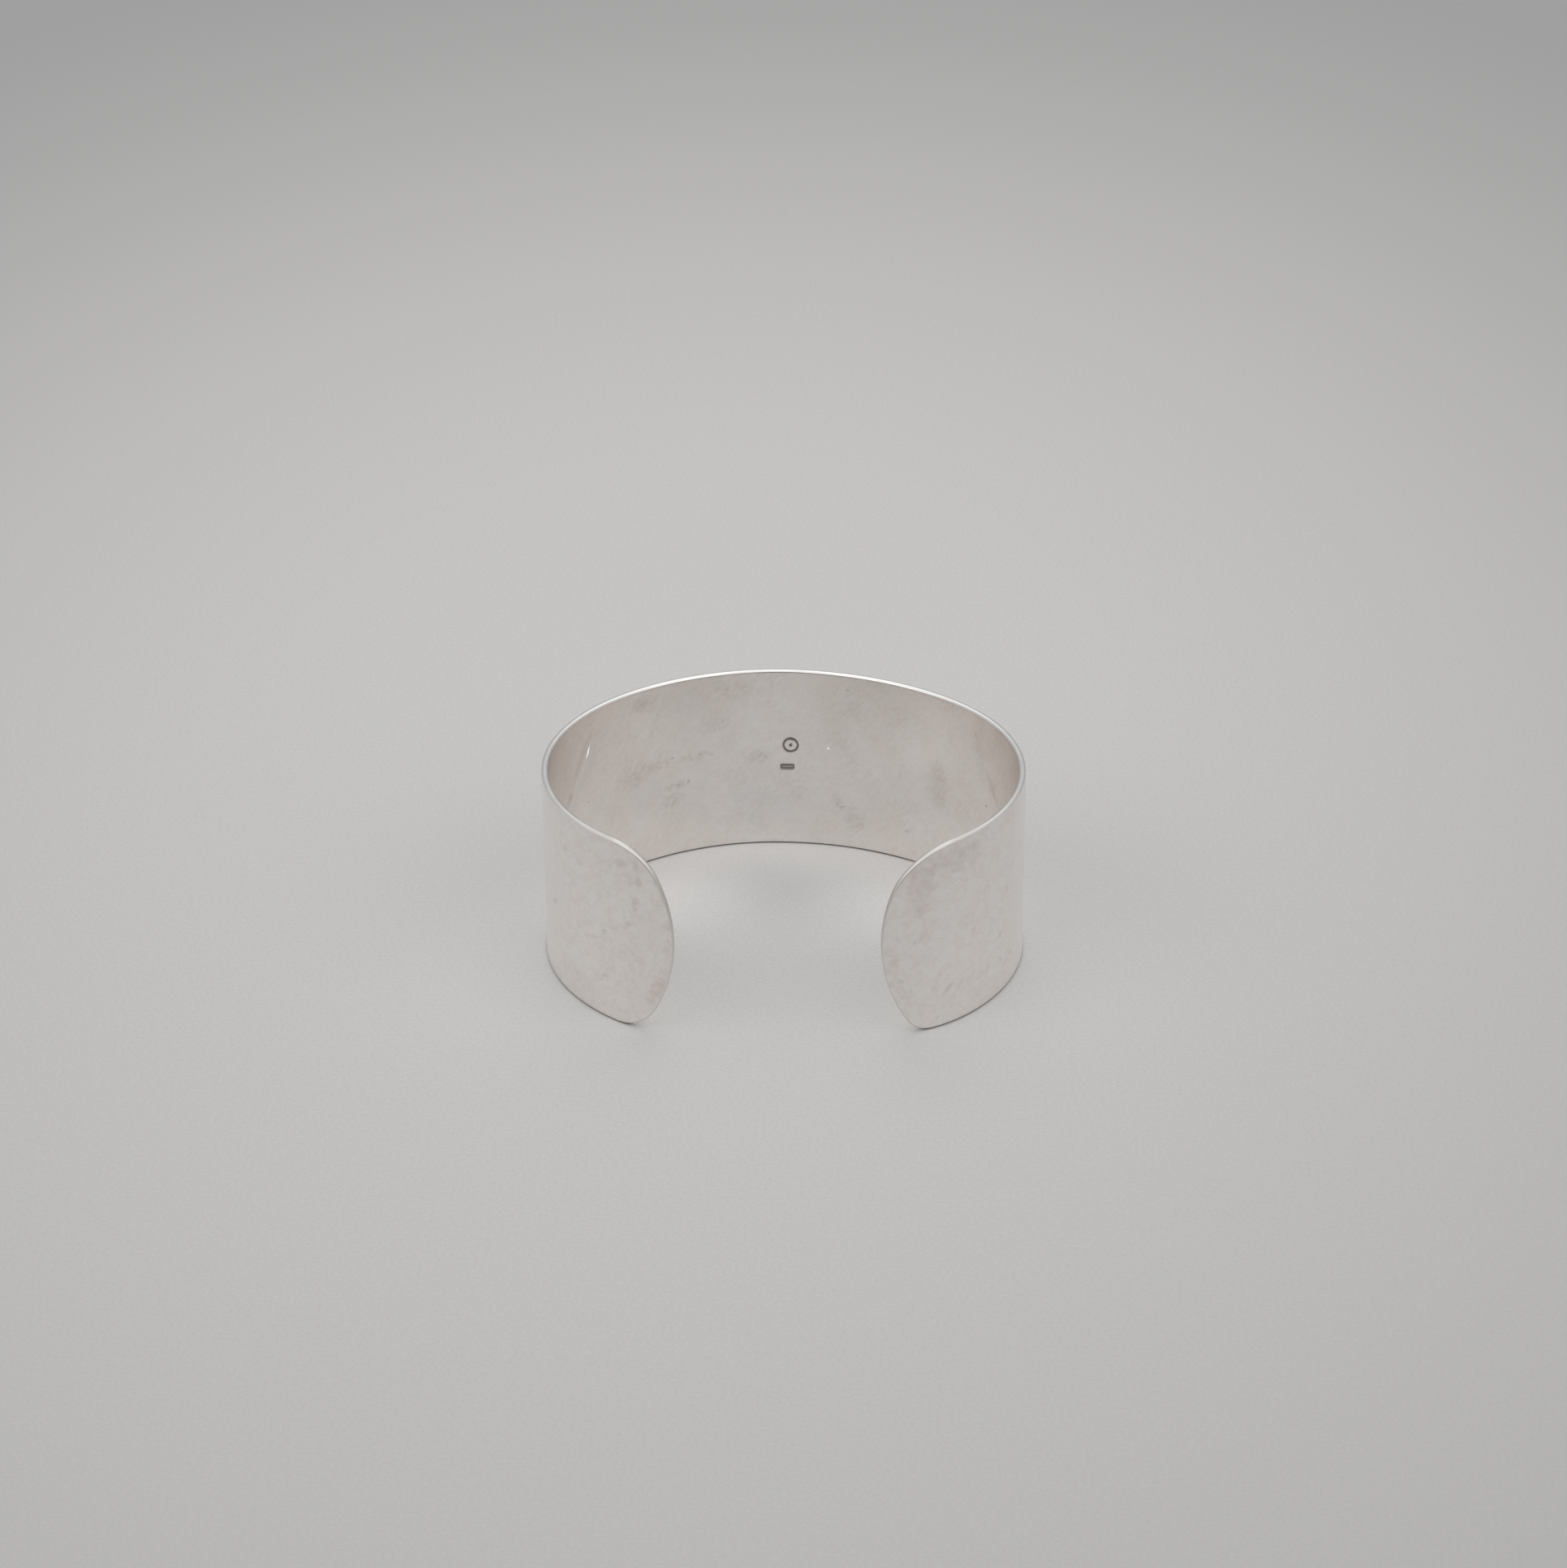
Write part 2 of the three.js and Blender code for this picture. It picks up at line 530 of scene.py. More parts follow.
class Finish:
    """What the cuff's finishes share: a metal whose nodes start from the strip's attributes."""

    name: str
    roughness: tuple[float, float]
    worn_span: tuple[float, float]  # how far along the strip from the back the wear starts and is full
    rough_levels = (0.2, 0.8)  # where a mask starts and stops changing the roughness
    ragged_bite = 0.55  # how far a stain's outline is eaten back
    ragged_span = 0.9  # how softly it rises from there

    def __init__(self, effects: Effects) -> None:
        """Starts the material.

        Args:
            effects: the shared node groups.
        """
        self.effects = effects
        self.material = bpy.data.materials.new(self.name)
        self.material.use_nodes = True
        self.shader = Shader(self.material.node_tree)
        self.surface = self.material.node_tree.nodes["Principled BSDF"]
        self.surface.inputs["Metallic"].default_value = 1.0
        self.strip = self.shader.attribute(Attribute.STRIP)
        self.axes = self.shader.split(self.strip)

    def clouds(self, cloud: Cloud) -> Socket:
        """Places clouds on the strip."""
        return self.shader.effect(self.effects.clouds, Vector=self.strip, Size=cloud.size,
                                  Detail=cloud.detail, Seed=cloud.seed, Low=cloud.low, High=cloud.high)

    def strokes(self, stroke: Stroke, side: Socket | None = None) -> Socket:
        """Places strokes on the strip.

        Args:
            stroke: the strokes.
            side: 1 where they rise along the strip and -1 where they fall, if they don't rise everywhere.

        Returns:
            Their value, around 0.5.
        """
        angle = -math.radians(stroke.rise)
        if side is not None:
            angle = self.overlap(side, angle)
        return self.shader.effect(self.effects.strokes, Vector=self.strip, Angle=angle,
                                  Length=stroke.length, Width=stroke.width, Seed=stroke.seed)

    def comb(self, stroke: Stroke, strokes: Socket) -> Socket:
        """Turns placed strokes into a mask by their own levels."""
        return self.shader.ramp(strokes, stroke.low, stroke.high)

    def marks(self, marks: tuple[Mark, ...]) -> Socket:
        """Places soft marks on the strip.

        Args:
            marks: the marks.

        Returns:
            The strongest mark's mask at each point.
        """
        total: Any = 0.0
        for mark in marks:
            mask = self.shader.effect(
                self.effects.mark, Vector=self.strip, Centre=(mark.along, mark.height, 0.0),
                Angle=math.radians(-mark.angle), Size=(mark.length / 2, mark.width / 2, 1.0),
            )
            total = self.shader.math("MAXIMUM", total, self.overlap(mask, mark.strength))
        return total

    def folds(self, folds: tuple[Fold, ...]) -> Socket:
        """Finds the strip beyond any of several folds.

        Args:
            folds: the folds.

        Returns:
            The mask, the strongest fold's at each point.
        """
        total: Any = 0.0
        for fold in folds:
            mask = self.shader.effect(
                self.effects.fold, Vector=self.strip, Centre=(fold.along, fold.height, 0.0),
                Angle=math.radians(-fold.angle), Softness=fold.softness,
            )
            total = self.shader.math("MAXIMUM", total, mask)
        return total

    def worn(self) -> Socket:
        """Finds the worn stretches towards the strip's two ends."""
        return self.shader.ramp(self.shader.math("ABSOLUTE", self.axes["X"]), *self.worn_span)

    def overlap(self, first: Any, second: Any) -> Socket:
        """Multiplies two masks, to find where both show, or a mask by a number."""
        return self.shader.math("MULTIPLY", first, second)

    def ragged(self, mask: Socket, grain: Socket) -> Socket:
        """Eats into a mask's soft outline where a grain is low, so that it looks like a stain."""
        low = self.shader.ramp(grain, 1.0, 0.0, 0.0, self.ragged_bite)
        return self.shader.ramp(mask, low, self.shader.math("ADD", low, self.ragged_span))

    def lay(self, base: Any, colour: Colour, mask: Socket, share: float = 1.0) -> Socket:
        """Lays a colour over a base by a mask, at most by a share."""
        return self.shader.tint(base, colour, self.overlap(mask, share))

    def relief(self, height: Socket, depth: float) -> Socket:
        """Makes a normal from a relief, whose height is from 0 to 1 and whose depth is in millimetres."""
        return self.shader.bump(height, 1.0, depth * MM)

    def coat(self, colour: Socket, uneven: Socket, normal: Socket | None = None) -> bpy.types.Material:
        """Gives the surface its looks.

        Args:
            colour: its colour.
            uneven: a mask that varies its roughness between the finish's two limits.
            normal: its normal, if it has a relief.

        Returns:
            The finished material.
        """
        rough = self.shader.ramp(uneven, *self.rough_levels, *self.roughness)
        self.shader.fill(self.surface, Base_Color=colour, Roughness=rough)
        if normal is not None:
            self.shader.feed(self.surface.inputs["Normal"], normal)
        return self.material


class FrostedOutside(Finish):
    """The outer face: frosted silver, cloudy and flecked with warm tarnish towards the ends."""

    name = "frosted_outside"
    silver: Colour = (0.955, 0.928, 0.903, 1.0)
    cool: Colour = (0.945, 0.935, 0.92, 1.0)
    warm: Colour = (0.945, 0.902, 0.872, 1.0)
    rose: Colour = (0.73, 0.61, 0.57, 1.0)
    red: Colour = (0.52, 0.36, 0.33, 1.0)
    grey: Colour = (0.58, 0.54, 0.49, 1.0)
    roughness = (0.37, 0.47)
    worn_span = (46.0, 60.0)

    cooling = Cloud(8.0, 1.7, 0.3, 0.7)
    warming = Cloud(5.0, 4.1, 0.2, 0.7, 5.0)
    mottling = Cloud(1.3, 9.7, 0.4, 0.68, 6.0)
    stain_grain = Cloud(1.4, 8.3, 0.3, 0.68, 6.0)
    stain_patches = Cloud(0.9, 1.4, 0.36, 0.64, 6.0)
    vein_from = Cloud(2.6, 5.8, 0.455, 0.495)
    vein_to = Cloud(2.6, 5.8, 0.505, 0.545)
    spot_grain = Cloud(0.5, 2.9, 0.3, 0.6, 5.0)
    speck_grain = Cloud(0.5, 6.1, 0.3, 0.6, 5.0)
    flecking = Stroke(35.0, 0.9, 0.36, 5.5, 0.48, 0.68)
    unevenness = Cloud(3.0, 6.6, 0.3, 0.7)
    frost = Cloud(0.35, 3.3, 0.2, 0.8, 4.0)
    swell = Cloud(2.6, 7.2, 0.2, 0.8)

    mottle_share = 0.08
    stain_share = 0.48
    least_stain = 0.4
    vein_share = 0.13
    spot_share = 0.26
    fleck_share = 0.08
    speck_share = 0.34
    swell_height = 3.0
    frost_depth = 0.005

    stains = (
        Mark(66.8, 22.4, 15.0, 6.4, -6.0, 0.95),
        Mark(71.4, 20.0, 6.6, 10.0, 0.0, 0.95),
        Mark(63.0, 21.4, 6.0, 4.0, 20.0, 0.6),
        Mark(70.4, 13.8, 4.0, 6.0, 0.0, 0.6),
        Mark(55.5, 23.4, 15.0, 3.4, 0.0, 0.42),
        Mark(75.2, 9.4, 4.0, 10.0, 5.0, 0.6),
        Mark(67.0, 5.0, 13.0, 7.0, 0.0, 0.45),
        Mark(-73.4, 6.6, 4.0, 11.0, 25.0, 0.75),
        Mark(-74.6, 13.0, 3.0, 13.0, 0.0, 0.6),
        Mark(-68.5, 20.6, 11.0, 7.0, 0.0, 0.42),
        Mark(-69.0, 7.0, 10.0, 8.0, 0.0, 0.45),
        Mark(-60.0, 3.4, 16.0, 5.0, 0.0, 0.35),
        Mark(57.0, 3.4, 12.0, 5.0, 0.0, 0.4),
        Mark(-68.5, 10.0, 14.0, 18.0, 0.0, 0.42),
        Mark(65.0, 4.0, 18.0, 8.0, 0.0, 0.42),
    )
    spots = (
        Mark(67.6, 4.9, 3.4, 1.1, -40.0),
        Mark(74.8, 4.6, 2.2, 1.0, -75.0),
        Mark(54.5, 4.2, 1.1, 1.0),
        Mark(71.8, 12.6, 2.4, 1.2, -30.0, 0.8),
        Mark(71.6, 16.6, 1.8, 2.4, 0.0, 0.8),
        Mark(-70.7, 22.4, 1.4, 2.0, 0.0, 0.9),
        Mark(-71.0, 20.2, 1.2, 2.2, 0.0, 0.9),
        Mark(-70.3, 16.8, 1.1, 1.8, 0.0, 0.8),
        Mark(-69.5, 14.2, 2.4, 1.1, -45.0, 0.9),
        Mark(-73.5, 21.0, 1.8, 1.1, -50.0, 0.8),
    )
    specks = (
        Mark(57.7, 8.3, 1.8, 1.3),
        Mark(63.5, 11.4, 1.4, 2.2, 0.0, 0.8),
        Mark(65.0, 19.0, 1.6, 1.2, 40.0, 0.8),
        Mark(56.2, 14.0, 1.5, 1.0, 30.0, 0.8),
        Mark(57.7, 4.8, 2.4, 1.1, 35.0, 0.8),
        Mark(74.0, 7.4, 1.3, 1.3, 0.0, 0.9),
        Mark(-65.6, 11.8, 1.8, 1.1, -50.0),
        Mark(-63.4, 10.4, 4.4, 0.9, -15.0, 0.7),
        Mark(-68.5, 22.2, 3.0, 1.6, -10.0),
        Mark(-58.1, 20.1, 1.3, 1.2),
        Mark(-61.2, 19.7, 2.0, 1.1, 10.0, 0.9),
        Mark(-65.6, 5.8, 1.8, 1.0, -20.0, 0.9),
        Mark(-70.6, 17.6, 1.4, 1.4, 0.0, 0.9),
        Mark(-54.2, 11.0, 2.8, 1.2, -30.0, 0.8),
    )

    def stained(self, base: Socket, worn: Socket) -> Socket:
        """Lays the mottling, the stains and their vein-like borders.

        Args:
            base: the colour below.
            worn: the mask of the worn ends.

        Returns:
            The colour with them.
        """
        colour = self.lay(base, self.rose, self.overlap(worn, self.clouds(self.mottling)), self.mottle_share)
        stains = self.ragged(self.marks(self.stains), self.clouds(self.stain_grain))
        patchy = self.shader.ramp(self.clouds(self.stain_patches), 0.0, 1.0, self.least_stain, 1.0)
        colour = self.lay(colour, self.rose, self.overlap(stains, patchy), self.stain_share)
        veins = self.shader.math("SUBTRACT", self.clouds(self.vein_from), self.clouds(self.vein_to))
        return self.lay(colour, self.rose, self.overlap(worn, veins), self.vein_share)

    def flecked(self, base: Socket, worn: Socket) -> Socket:
        """Lays the pinkish spots, the fine flecks that rise towards the ends, and the grey specks.

        Args:
            base: the colour below.
            worn: the mask of the worn ends.

        Returns:
            The colour with them.
        """
        spotted = self.overlap(self.marks(self.spots), self.clouds(self.spot_grain))
        colour = self.lay(base, self.red, spotted, self.spot_share)
        side = self.shader.math("SIGN", self.axes["X"])
        flecks = self.comb(self.flecking, self.strokes(self.flecking, side))
        colour = self.lay(colour, self.grey, self.overlap(worn, flecks), self.fleck_share)
        specked = self.overlap(self.marks(self.specks), self.clouds(self.speck_grain))
        return self.lay(colour, self.grey, specked, self.speck_share)

    def dress(self) -> bpy.types.Material:
        """Builds the finish.

        Returns:
            Its material.
        """
        worn = self.worn()
        colour = self.lay(self.silver, self.cool, self.clouds(self.cooling))
        colour = self.lay(colour, self.warm, self.overlap(worn, self.clouds(self.warming)))
        colour = self.flecked(self.stained(colour, worn), worn)
        swell = self.overlap(self.clouds(self.swell), self.swell_height)
        height = self.shader.math("ADD", self.clouds(self.frost), swell)
        return self.coat(colour, self.clouds(self.unevenness), self.relief(height, self.frost_depth))


class SatinInside(Finish):
    """The inner face: satin silver with brushed patches, dull streaks, stains, and painted shade beyond and
    along the lines of the bends.
    """

    name = "satin_inside"
    silver: Colour = (0.945, 0.916, 0.893, 1.0)
    rosy: Colour = (0.915, 0.85, 0.808, 1.0)
    cool: Colour = (0.905, 0.896, 0.884, 1.0)
    # Brown also paints the shade along the bends' creases.
    brown: Colour = (0.48, 0.40, 0.35, 1.0)
    # Painted shade for the strip beyond the bend lines, where the turning wall reflects darker.
    bend_shade: Colour = (0.50, 0.44, 0.365, 1.0)
    # Painted highlight: white laid on the nicks to brighten their glint.
    pale: Colour = (1.0, 1.0, 1.0, 1.0)
    # This dark colour is the tarnish left in the struck punches.
    tarnish_and_shade: Colour = (0.16, 0.135, 0.12, 1.0)
    roughness = (0.28, 0.32)

    blush = Cloud(5.0, 2.2, 0.35, 0.65, 6.0)
    zone_grain = Cloud(1.8, 8.8, 0.25, 0.75, 6.0)
    smudges = Cloud(3.0, 5.2, 0.42, 0.7, 7.0)
    smudge_grain = Cloud(0.7, 9.1, 0.3, 0.7)
    faint_brushing = Cloud(6.0, 6.3, 0.35, 0.75)
    fine_grain = Cloud(0.5, 3.7, 0.4, 0.66, 4.0)
    dash_gaps = Cloud(0.5, 4.4, 0.3, 0.6)
    brushing = Stroke(50.0, 1.4, 0.3, 1.1, 0.42, 0.66)
    dashes = Stroke(12.0, 0.9, 0.26, 7.7, 0.42, 0.58)
    unevenness = Cloud(5.0, 3.9, 0.3, 0.7)

    blush_share = 0.48
    rosy_share = 0.38
    cool_share = 0.7
    dim_share = 0.12
    smudge_share = 0.12
    # Shares of the painted shade beyond the bend lines and along their creases.
    bend_shade_share = 0.06
    deep_bend_shade_share = 0.09
    crease_shade_share = 0.27
    faint_share = 0.9
    brush_share = 0.18
    grain_share = 0.07
    streak_share = 0.4
    speck_share = 0.6
    brush_depth = 0.0006
    nick_lean: Triple = (-0.36, -0.63, 1.0)
    struck_from = 0.015
    struck_full = 0.085
    struck_share = 0.85

    rosy_zones = (
        Mark(-24.0, 12.0, 30.0, 24.0, 0.0, 0.9),
        Mark(-9.0, 21.0, 24.0, 10.0, 10.0, 0.8),
        Mark(-14.0, 5.0, 16.0, 10.0, 0.0, 0.7),
        Mark(26.0, 11.5, 12.0, 13.0),
        Mark(12.5, 3.6, 14.0, 6.0, 0.0, 0.7),
        Mark(-4.0, 13.0, 10.0, 6.0, 0.0, 0.6),
        Mark(1.5, 21.0, 8.0, 10.0, 0.0, 0.5),
    )
    cool_zones = (
        Mark(-13.0, 21.3, 9.0, 5.4, 20.0, 0.9),
        Mark(-20.0, 10.2, 9.0, 5.4, 10.0, 0.9),
        Mark(-3.0, 5.5, 18.0, 12.0, -15.0, 0.9),
        # This cool band along the lower edge is a painted reflection, cooler and slightly darker.
        Mark(2.0, 1.2, 34.0, 5.0, 0.0, 0.9),
        # These two cool bands beside the creases are painted reflection along the bends.
        Mark(-31.0, 16.4, 10.0, 3.0, 50.0),
        Mark(29.4, 18.6, 8.0, 2.8, -56.0),
        Mark(17.5, 10.5, 11.0, 13.0, 0.0, 0.7),
        Mark(-5.0, 18.5, 6.0, 4.0, 0.0, 0.6),
    )
    dim_zones = (
        Mark(21.5, 12.5, 6.0, 11.0, 6.0),
        Mark(25.5, 10.0, 8.0, 8.0, 0.0, 0.5),
        Mark(-20.5, 12.6, 11.0, 7.0, 0.0, 0.7),
        Mark(-15.5, 6.6, 6.0, 6.0, 0.0, 0.5),
        Mark(-19.5, 22.8, 8.0, 4.0, 6.0, 0.9),
        Mark(-6.0, 22.6, 10.0, 4.6, 0.0, 0.6),
        Mark(-9.6, 17.6, 7.0, 4.0, 30.0, 0.5),
        Mark(1.5, 19.0, 5.0, 8.0, 0.0, 0.4),
        Mark(-3.6, 12.8, 5.0, 3.6, 0.0, 0.7),
        Mark(9.4, 3.6, 5.0, 4.0, 0.0, 0.6),
    )
    brushings = (
        Mark(-7.5, 22.6, 13.0, 5.4),
        Mark(-9.5, 18.0, 9.0, 6.0, 20.0, 0.9),
        Mark(-21.0, 16.0, 12.0, 13.0),
        Mark(-19.5, 22.8, 9.0, 4.4),
        Mark(-15.0, 6.6, 9.0, 8.0, 0.0, 0.8),
        Mark(-4.0, 12.8, 7.0, 4.0, 0.0, 0.9),
        Mark(-27.0, 21.0, 10.0, 8.0, 0.0, 0.7),
        Mark(22.5, 12.5, 5.4, 11.0, 8.0),
        Mark(26.5, 10.5, 7.0, 8.0, 0.0, 0.7),
        Mark(9.5, 4.2, 6.4, 7.4),
        Mark(24.0, 23.8, 8.0, 2.2),
        Mark(14.0, 3.6, 5.0, 4.4, 0.0, 0.8),
        Mark(17.2, 3.8, 4.0, 3.0, 0.0, 0.7),
    )
    streaks = (
        Mark(-12.0, 13.7, 8.4, 1.5, 3.0),
        Mark(-18.0, 13.6, 9.0, 2.6, -4.0, 0.7),
        Mark(-14.6, 10.1, 6.4, 1.8, 7.0),
        Mark(-22.0, 12.6, 7.0, 3.4, 0.0, 0.6),
        Mark(-15.5, 8.0, 5.0, 3.2, 20.0, 0.6),
        Mark(7.5, 6.2, 4.4, 1.8, -60.0),
        Mark(9.4, 4.4, 4.4, 5.2, 0.0, 0.8),
        Mark(-19.6, 23.2, 7.0, 2.4, 8.0, 0.6),
        Mark(-7.0, 23.2, 9.0, 2.4, 0.0, 0.4),
        Mark(-3.6, 12.6, 5.6, 2.6, 0.0, 0.6),
        Mark(22.0, 12.6, 2.6, 9.0, 6.0, 0.3),
    )
    specks = (
        Mark(31.2, 12.9, 0.7, 0.6),
        Mark(-17.5, 20.8, 0.5, 0.4, 0.0, 0.5),
        Mark(-29.9, 12.6, 0.8, 0.4, 0.0, 0.6),
        Mark(-13.1, 10.3, 0.6, 0.7, 0.0, 0.7),
        Mark(-15.4, 14.1, 0.6, 0.5, 0.0, 0.7),
        Mark(17.0, 4.2, 1.0, 0.7, 0.0, 0.4),
        Mark(28.9, 20.2, 0.7, 1.4, 0.0, 0.3),
        Mark(8.4, 22.9, 1.0, 0.5, 0.0, 0.5),
    )
    # Painted shade along the bend lines' creases.
    creases = (
        Mark(-31.1, 19.4, 10.0, 2.0, 51.0, 0.7),
        Mark(-34.6, 15.0, 3.4, 1.8, 40.0),
        Mark(32.7, 16.0, 7.2, 1.6, -52.0, 0.8),
        Mark(29.4, 20.8, 5.4, 1.4, -60.0, 0.5),
    )
    bends = (Fold(-31.5, 18.75, 51.0, 2.0), Fold(31.2, 18.0, -55.5, 2.0))
    deep_bends = (Fold(-31.5, 18.75, 51.0, 13.0), Fold(31.2, 18.0, -55.5, 10.0))
    # Nicks, whose light streaks are partly a painted highlight.
    nicks_and_glints = (
        Mark(-29.7, 19.6, 3.0, 0.36, 62.0, 0.8),
        Mark(5.8, 14.2, 0.6, 0.45, 25.0),
        Mark(-31.0, 17.3, 3.6, 0.34, 62.0, 0.5),
    )

    def toned(self) -> Socket:
        """Lays the rosy, cool and dim zones and the smudges over the silver.

        Returns:
            The colour with them.
        """
        grain = self.clouds(self.zone_grain)
        colour = self.lay(self.silver, self.rosy, self.clouds(self.blush), self.blush_share)
        for tone, zones, share in (
            (self.rosy, self.rosy_zones, self.rosy_share),
            (self.cool, self.cool_zones, self.cool_share),
            (self.brown, self.dim_zones, self.dim_share),
        ):
            colour = self.lay(colour, tone, self.ragged(self.marks(zones), grain), share)
        smudged = self.overlap(self.clouds(self.smudges), self.clouds(self.smudge_grain))
        return self.lay(colour, self.brown, smudged, self.smudge_share)

    def bent(self, base: Socket) -> Socket:
        """Paints shade on the strip beyond its two bend lines, and along the creases there.

        Args:
            base: the colour below.

        Returns:
            The colour with them.
        """
        colour = self.lay(base, self.bend_shade, self.folds(self.bends), self.bend_shade_share)
        colour = self.lay(colour, self.bend_shade, self.folds(self.deep_bends), self.deep_bend_shade_share)
        return self.lay(colour, self.brown, self.marks(self.creases), self.crease_shade_share)

    def brushed(self, base: Socket, brush: Socket) -> Socket:
        """Lays the brushed patches and the satin's fine grain.

        Args:
            base: the colour below.
            brush: the brush strokes.

        Returns:
            The colour with them.
        """
        faint = self.overlap(self.clouds(self.faint_brushing), self.faint_share)
        patches = self.shader.math("MAXIMUM", faint, self.marks(self.brushings))
        combed = self.overlap(self.comb(self.brushing, brush), patches)
        colour = self.lay(base, self.brown, combed, self.brush_share)
        return self.lay(colour, self.brown, self.clouds(self.fine_grain), self.grain_share)

    def streaked(self, base: Socket) -> Socket:
        """Lays the dull streaks, which are broken into dashes, and the small specks.

        Args:
            base: the colour below.

        Returns:
            The colour with them.
        """
        dashes = self.comb(self.dashes, self.strokes(self.dashes))
        broken = self.overlap(dashes, self.clouds(self.dash_gaps))
        streaks = self.overlap(self.marks(self.streaks), broken)
        colour = self.lay(base, self.brown, streaks, self.streak_share)
        return self.lay(colour, self.brown, self.marks(self.specks), self.speck_share)

    def struck(self) -> Socket:
        """Finds where the punches went in, by how much of the sheet is left."""
        return self.shader.ramp(self.axes["Z"], SHEET - self.struck_from, SHEET - self.struck_full,
                                0.0, self.struck_share)

    def dress(self) -> bpy.types.Material:
        """Builds the finish.

        Returns:
            Its material.
        """
        brush = self.strokes(self.brushing)
        nicks_and_glints = self.marks(self.nicks_and_glints)
        colour = self.streaked(self.brushed(self.bent(self.toned()), brush))
        # Paints the nicks' glint white.
        colour = self.lay(colour, self.pale, nicks_and_glints)
        colour = self.lay(colour, self.tarnish_and_shade, self.struck())
        lean = self.shader.vector("MULTIPLY", nicks_and_glints, self.nick_lean)
        leaning = self.shader.vector("ADD", self.relief(brush, self.brush_depth), lean)
        normal = self.shader.vector("NORMALIZE", leaning)
        return self.coat(colour, self.clouds(self.unevenness), normal)


class PolishedRim(Finish):
    """The filed and polished edge, duller towards the ends, with painted shade along the lower edge where it
    rests.
    """

    name = "polished_rim"
    silver: Colour = (0.94, 0.93, 0.91, 1.0)
    dull: Colour = (0.80, 0.77, 0.735, 1.0)
    # Painted shade: a dark colour along the lower edge, standing in for the shadow where the cuff rests on
    # the floor.
    tarnish_and_shade: Colour = (0.24, 0.215, 0.19, 1.0)
    roughness = (0.28, 0.48)
    worn_span = (55.0, 67.0)
    # Heights above the lower edge, in millimetres, where the painted shade starts and where it is full.
    painted_shade_span = (0.36, 0.16)

    clouding = Cloud(4.0, 5.0, 0.5, 0.75)
    unevenness = Cloud(1.2, 3.0, 0.3, 0.7)
    cloud_share = 0.3
    uneven_share = 0.4

    def dress(self) -> bpy.types.Material:
        """Builds the finish.

        Returns:
            Its material.
        """
        worn = self.worn()
        cloudy = self.overlap(self.clouds(self.clouding), self.cloud_share)
        colour = self.lay(self.silver, self.dull, self.shader.math("MAXIMUM", cloudy, worn))
        # Paints shade along the lower edge, darkest where it rests on the floor.
        colour = self.lay(colour, self.tarnish_and_shade, self.shader.ramp(self.axes["Y"], *self.painted_shade_span))
        uneven = self.overlap(self.clouds(self.unevenness), self.uneven_share)
        return self.coat(colour, self.shader.math("MAXIMUM", uneven, worn))


# ---- The cuff ----


